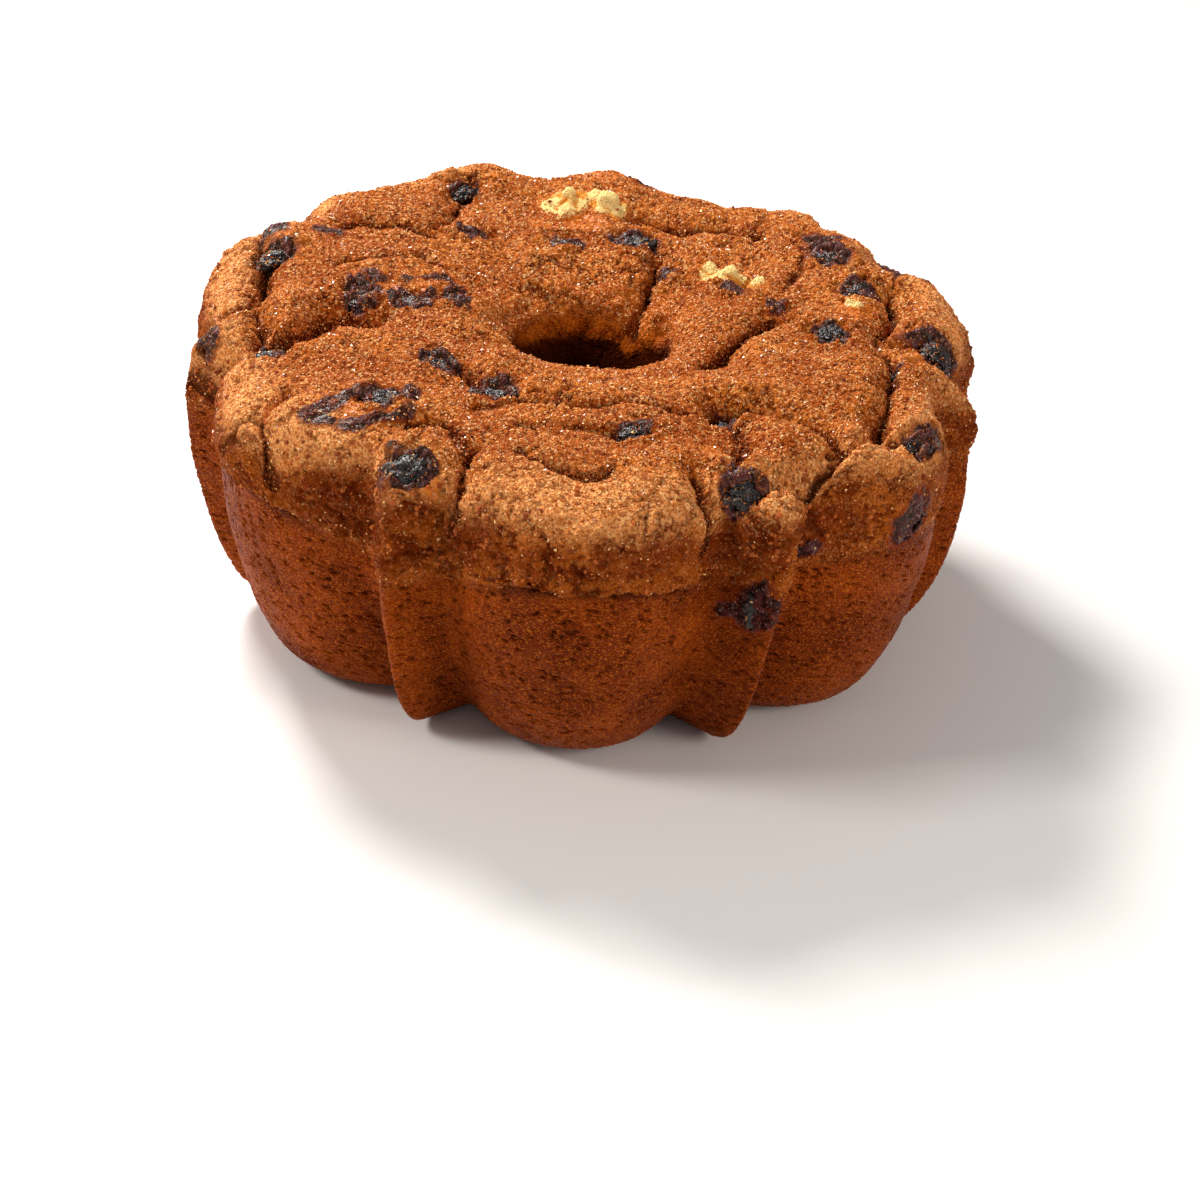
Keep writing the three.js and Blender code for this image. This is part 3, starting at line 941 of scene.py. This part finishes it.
# Pulls on the skin, as shares of the berry: folds, wrinkles and creases by number, depth and width, lumps by
# number and height, and the crown's ring and pit by angle from its middle, spread and height
berry_folds = [(1.6, 0.26, 0.24), (4, 0.2, 0.22), (8, 0.1, 0.2)]
small_lumps, small_lump_height = (9, 0.06)
large_lumps, large_lump_height = (1.4, 0.22)
ring_angle, ring_spread, ring_height = (0.42, 0.1, 0.12)
pit_spread, pit_depth = (0.28, 0.16)
berry_levels = 3
top_flattening = 0.3
side_flattening = 0.7
side_below = 0.07
lean_radii = (0.088, 0.104)
usual_sink = 0.5
crowned = {"berry_01", "berry_03", "berry_04", "berry_08", "berry_12", "berry_17", "berry_22"}
sunk = {"berry_01": 1.5, "berry_05": 1.4, "berry_06": 1.2, "berry_07": 1.4, "berry_09": 1, "berry_16": 1}
upright = Vector((0, 0, 1))
berries = []
for number, name in enumerate(berry_nodes):
    solid = merged_solid(name)
    ball = bpy.data.meshes.new(name)
    solid.to_mesh(ball)
    solid.free()
    holder = placed("holder", ball)
    rounding = holder.modifiers.new("rounding", "SUBSURF")
    rounding.levels = berry_levels
    rounding.render_levels = berry_levels
    berry = evaluated_mesh(holder)
    low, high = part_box(name)
    centre = (low + high) / 2
    half = (high - low) / 2
    radial = Vector((centre.x, centre.y, 0))
    lean = float(smooth_step(radial.length, *lean_radii))
    out = (upright + lean * radial.normalized()).normalized()
    flattening = top_flattening
    lowered = sunk.get(name, usual_sink) / 1000
    if centre.z < side_below:
        out = radial.normalized()
        flattening = side_flattening
        lowered = 0
    seed = Vector((number * 7.3, number * 2.9, 0))
    crown_axis = (out + noise.noise_vector(seed + Vector((0, 1, 2))) * 0.5).normalized()
    for vertex in berry.vertices:
        arm = vertex.co - centre
        unit = Vector(a / h for a, h in zip(arm, half))
        way = unit.normalized()
        pull = 0
        for count, depth, width in berry_folds:
            pull -= depth * max(0, 1 - abs(noise.noise(unit * count + seed)) / width) ** 2
        small = small_lump_height * noise.noise(unit * small_lumps + seed)
        pull += small + large_lump_height * noise.noise(way * large_lumps + seed * 2)
        if name in crowned:
            from_crown = way.angle(crown_axis)
            pull += ring_height * math.exp(-(((from_crown - ring_angle) / ring_spread) ** 2))
            pull -= pit_depth * math.exp(-((from_crown / pit_spread) ** 2))
        arm = arm * (1 + pull)
        outside = max(0, arm.dot(out))
        vertex.co = centre + arm - out * (flattening * outside + lowered)
    berry.shade_smooth()
    piece = finished(name + "_skin", berry, berry_finish)
    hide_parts(name)
    berries.append(piece)

# Coarse sugar was strewn over the batter before baking. It stuck to crust and berries as clear and amber
# crystals, thickest on top and thin on the rim, and hardly at all on the side that lay against the tin.
sugar_sizes = {"Grains per square metre": 1100000, "Smallest": 0.0002, "Largest": 0.00056}
sugar_seed = 11
sugar_drift_size = 0.012
crystal = {"Vertices": 3, "Radius Top": 0.0, "Radius Bottom": 1.0, "Depth": 1.5}
amber = from_screen(190, 94, 28)
clear_sugar = from_screen(250, 196, 128)
sugar_finish, sugar_shade = new_finish("sugar_finish")
sugar_tint = fade(sugar_shade, stored(sugar_shade, "tint"), 0.35, 1)
end_finish(sugar_shade, {
    "Base Color": tinted(sugar_shade, sugar_tint, amber, clear_sugar),
    "Roughness": 0.25,
    "Specular IOR Level": 0.4,
})


def scatter_tree(name, sizes, density, grain_kind, grain_inputs, material, seed):
    """Strews small grains over a mesh: as many as the density names, turned and sized at random"""
    tree = new_tree(name, sizes)
    asked = add_node(tree, "NodeGroupInput").outputs

    def any_between(step, low, high):
        """A random number or vector for each grain"""
        vector = isinstance(low, tuple)
        ends = {0: low, 1: high} if vector else {2: low, 3: high}
        kind = "FLOAT_VECTOR" if vector else "FLOAT"
        node = add_node(tree, "FunctionNodeRandomValue", {**ends, "Seed": seed + step}, data_type=kind)
        return node.outputs[0 if vector else 1]

    per_area = times(tree, density(tree), asked["Grains per square metre"])
    strewn = {"Mesh": asked["Geometry"], "Density": per_area, "Seed": seed}
    form = any_between(3, (0.6, 0.6, 0.5), (1.2, 1.1, 1))
    size = any_between(2, asked["Smallest"], asked["Largest"])
    laid = {
        "Points": add_node(tree, "GeometryNodeDistributePointsOnFaces", strewn).outputs["Points"],
        "Instance": add_node(tree, grain_kind, grain_inputs).outputs["Mesh"],
        "Rotation": any_between(1, (0, 0, 0), (6.283, 6.283, 6.283)),
        "Scale": on_vectors(tree, "SCALE", form, Scale=size),
    }
    grains = add_node(tree, "GeometryNodeInstanceOnPoints", laid).outputs[0]
    named = keep_attribute(tree, grains, "tint", any_between(4, 0.0, 1.0), "INSTANCE")
    real = add_node(tree, "GeometryNodeRealizeInstances", {"Geometry": named}).outputs[0]
    dressed = {"Geometry": real, "Material": material}
    add_node(tree, "NodeGroupOutput", {0: add_node(tree, "GeometryNodeSetMaterial", dressed).outputs[0]})
    return tree


# What sugar, cinnamon and crumbs fall on: crust, band and berries as one mesh, and how much sticks where
sugared_pieces = ("crust_inner", "crust_outer", "lip_band_upper", "lip_band_lower")
sticks_to_berries = {"sugar": 0.3, "cinnamon": 0.06, "crumb": 0}
strewn_places = []
strewn_faces = []
sticks = {"sugar": [], "cinnamon": [], "crumb": []}
first_place = 0
for piece in (*(cake_pieces[name] for name in sugared_pieces), *berries):
    mesh = piece.data
    strewn_places.append(read_from(mesh.vertices, "co", 3))
    corners = read_from(mesh.loops, "vertex_index", 1).astype(int)
    strewn_faces.append(corners.reshape(-1, 4) + first_place)
    first_place += len(mesh.vertices)
    if piece in berries:
        for key, stuck in sticks_to_berries.items():
            sticks[key].append(np.full(len(mesh.vertices), stuck))
        continue
    held = {key: read_from(mesh.attributes[key].data, "value", 1) for key in weights}
    clean = (1 - 0.85 * held["juice"]) * (1 - held["pale"]) * (1 - 0.88 * held["band"])
    rough = 0.2 + 0.4 * held["craggy"] + held["crack"]
    sticks["sugar"].append(held["crust"] * clean)
    sticks["cinnamon"].append(held["crust"] * clean)
    sticks["crumb"].append(held["crust"] * rough * (1 - held["juice"]))
sticks = {key: np.concatenate(values) for key, values in sticks.items()}
strewn_on = mesh_of("strewn_on", np.concatenate(strewn_places), np.concatenate(strewn_faces), sticks)


def patches_in(tree, size, detail, low, high):
    """Random patches of a size over the mesh that a Geometry Nodes tree works on"""
    place = add_node(tree, "GeometryNodeInputPosition").outputs[0]
    return fade(tree, grain(tree, place, size, detail), low, high)


def sugar_density(tree):
    drift = patches_in(tree, sugar_drift_size, 2, 0.3, 0.62)
    return times(tree, weight_in(tree, "sugar"), linear(tree, drift, 0.75, 0.25))


sugar_scatter = scatter_tree("sugar", sugar_sizes, sugar_density, "GeometryNodeMeshCone", crystal,
                             sugar_finish, sugar_seed)
finished("sugar_crystals", grow(sugar_scatter, sugar_sizes, strewn_on), None)

# Ground cinnamon and brown sugar were strewn with the coarse sugar.
# They baked on as darker grains between the clear crystals, evenly over the crust.
cinnamon_sizes = {"Grains per square metre": 900000, "Smallest": 0.0002, "Largest": 0.00042}
cinnamon_seed = 23
grain_brown = from_screen(150, 58, 10)
grain_amber = from_screen(236, 148, 70)
cinnamon_finish, cinnamon_shade = new_finish("cinnamon_finish")
end_finish(cinnamon_shade, {
    "Base Color": tinted(cinnamon_shade, stored(cinnamon_shade, "tint"), grain_brown, grain_amber),
    "Roughness": 0.5,
    "Specular IOR Level": 0.12,
})


def cinnamon_density(tree):
    return weight_in(tree, "cinnamon")


cinnamon_scatter = scatter_tree("cinnamon", cinnamon_sizes, cinnamon_density, "GeometryNodeMeshCone", crystal,
                                cinnamon_finish, cinnamon_seed)
finished("cinnamon_grains", grow(cinnamon_scatter, cinnamon_sizes, strewn_on), None)

# Loose crumbs are bits of crust and clumps of cinnamon sugar that broke off as the cake was turned out.
# They cling to the rough rim, to the lip and along the creases.
crumb_sizes = {"Grains per square metre": 330000, "Smallest": 0.00035, "Largest": 0.0009}
crumb_seed = 31
crumb_drift_size = 0.006
crumb_bump_size = 0.0005
crumb_ball = {"Subdivisions": 1, "Radius": 1.0}
crumb_dark = from_screen(124, 50, 14)
crumb_light = from_screen(194, 102, 40)
crumb_finish, crumb_shade = new_finish("crumb_finish")
crumb_height = grain(crumb_shade, object_place(crumb_shade), crumb_bump_size, 2)
end_finish(crumb_shade, {
    "Base Color": tinted(crumb_shade, stored(crumb_shade, "tint"), crumb_dark, crumb_light),
    "Roughness": 0.75,
    "Normal": bumped(crumb_shade, crumb_height, 0.4, 0.0003),
    "Specular IOR Level": 0.2,
})


def crumb_density(tree):
    return times(tree, weight_in(tree, "crumb"), patches_in(tree, crumb_drift_size, 3, 0.42, 0.7))


crumb_scatter = scatter_tree("crumbs", crumb_sizes, crumb_density, "GeometryNodeMeshIcoSphere", crumb_ball,
                             crumb_finish, crumb_seed)
finished("crumbs", grow(crumb_scatter, crumb_sizes, strewn_on), None)

# The floor is a plain pale sheet that the cake stands on and that fills the background.
# It belongs to the studio, not to the cake.
floor_reach = 3
floor_pale = (0.9, 0.885, 0.88, 1)
floor_mesh = bpy.data.meshes.new("floor")
floor_corners = [(across * floor_reach, along * floor_reach, 0) for across, along in
                 ((-1, -1), (1, -1), (1, 1), (-1, 1))]
floor_mesh.from_pydata(floor_corners, [], [(0, 1, 2, 3)])
floor = placed("floor", floor_mesh)
floor_finish = bpy.data.materials.new("floor_finish")
floor_finish.use_nodes = True
floor_shader = floor_finish.node_tree.nodes["Principled BSDF"]
floor_shader.inputs["Base Color"].default_value = floor_pale
floor_shader.inputs["Roughness"].default_value = 0.6
floor_mesh.materials.append(floor_finish)

# The light is a strong soft lamp behind and to the left, with weaker ones on the left and on the right, in a
# dim white room. Each lamp is a square of cloth over a bulb: place, width, power, colour.
lamps = {
    "back_softbox": ((-0.5, 0.68, 0.9), 0.36, 21, (1, 0.97, 0.93)),
    "left_softbox": ((-0.85, -0.3, 0.8), 0.3, 7, (1, 0.96, 0.9)),
    "right_softbox": ((0.8, -0.5, 0.45), 0.4, 4, (1, 0.95, 0.88)),
}
lamps_face = Vector((0, 0, 0.05))
room_white = (1, 0.98, 0.96, 1)
room_brightness = 0.27
for name, (stands, width, power, colour) in lamps.items():
    light = bpy.data.lights.new(name, "AREA")
    light.shape = "SQUARE"
    light.size = width
    light.energy = power
    light.color = colour
    lamp = placed(name, light)
    lamp.location = stands
    lamp.rotation_mode = "QUATERNION"
    lamp.rotation_quaternion = (lamps_face - Vector(stands)).to_track_quat("-Z", "Y")
room = bpy.data.worlds.new("studio")
room.use_nodes = True
room.node_tree.nodes["Background"].inputs["Color"].default_value = room_white
room.node_tree.nodes["Background"].inputs["Strength"].default_value = room_brightness
bpy.context.scene.world = room
bpy.context.scene.view_settings.view_transform = "Standard"

# The camera stands where the photograph was taken from, a little turned on its own axis.
# Its place is in metres, from the middle of the cake's foot.
camera_place = (0.00025, -0.54934, 0.31675)
camera_yaw = math.radians(0.78)
camera_pitch = math.radians(30.4)
camera_roll = math.radians(4.39)
camera = placed("camera", bpy.data.cameras.new("camera"))
camera.data.lens = 66.71
camera.data.sensor_width = 36
level_ahead = math.cos(camera_pitch)
ahead = Vector((
    math.sin(camera_yaw) * level_ahead,
    math.cos(camera_yaw) * level_ahead,
    -math.sin(camera_pitch),
))
level_right = ahead.cross(upright).normalized()
level_up = level_right.cross(ahead)
right = math.cos(camera_roll) * level_right + math.sin(camera_roll) * level_up
up = right.cross(ahead)
camera.matrix_world = Matrix((right, up, -ahead)).transposed().to_4x4()
camera.location = camera_place
bpy.context.scene.camera = camera
